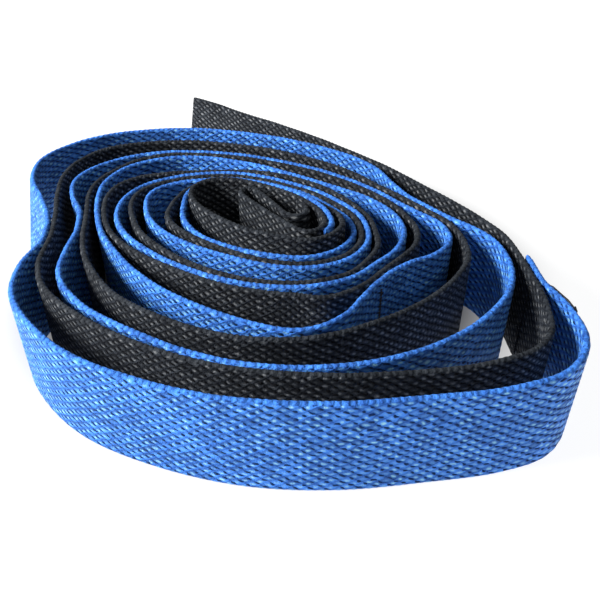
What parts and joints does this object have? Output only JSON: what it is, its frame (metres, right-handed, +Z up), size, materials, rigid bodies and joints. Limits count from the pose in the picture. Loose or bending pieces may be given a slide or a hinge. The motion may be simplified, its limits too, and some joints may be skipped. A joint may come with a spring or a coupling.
{
  "type": "stretching strap",
  "caption": "Looped stretching strap: two flat woven webbings sewn together into a row of loops, rolled into a loose coil that stands on its edge, with a free tail.",
  "frame": {"origin": "centre of the coil's bounding box, on the surface that it stands on", "axes": "+Z up, across the webbing's width; +Y from the front of the coil towards the free tail's cut end; +X to the right, seen from the front"},
  "size_m": [0.2182, 0.2521, 0.042],
  "materials": {
    "blue_webbing": "matte",
    "black_webbing": "matte",
    "black_thread": "satin"
  },
  "bodies": {
    "coil": {"blue_loop_2": "blue_webbing", "black_loop_2": "black_webbing", "blue_loop_3": "blue_webbing", "black_loop_3": "black_webbing", "blue_loop_4": "blue_webbing", "black_loop_4": "black_webbing", "blue_loop_5": "blue_webbing", "black_loop_5": "black_webbing", "blue_loop_6": "blue_webbing", "black_loop_6": "black_webbing", "blue_loop_7": "blue_webbing", "black_loop_7": "black_webbing", "blue_loop_8": "blue_webbing", "black_loop_8": "black_webbing", "black_inner_end": "black_webbing", "bar_tack_2": "black_thread", "bar_tack_3": "black_thread", "bar_tack_4": "black_thread", "bar_tack_5": "black_thread", "bar_tack_6": "black_thread", "bar_tack_7": "black_thread", "bar_tack_8": "black_thread", "bar_tack_9": "black_thread"},
    "front_loop": {"blue_loop_1": "blue_webbing", "black_loop_1": "black_webbing", "bar_tack_1": "black_thread"},
    "tail_root": {"black_tail_root": "black_webbing"},
    "tail_tip": {"black_tail_tip": "black_webbing"}
  },
  "joints": [
    {"name": "tail_swing", "type": "hinge", "parent": "front_loop", "child": "tail_root", "pos_m": [0.09953, -0.04298, 0], "axis": [0, 0, 1], "range_deg": [-125, 0]},
    {"name": "front_loop_unroll", "type": "hinge", "parent": "coil", "child": "front_loop", "pos_m": [-0.08656, -0.03848, 0], "axis": [0, 0, 1], "range_deg": [-50, 0]},
    {"name": "tail_flex", "type": "hinge", "parent": "tail_root", "child": "tail_tip", "pos_m": [0.02683, 0.06262, 0], "axis": [0, 0, 1], "range_deg": [-45, 15]}
  ],
  "couplings": [
    {"joint": "front_loop_unroll", "follows": "tail_swing", "ratio": 0.4}
  ]
}
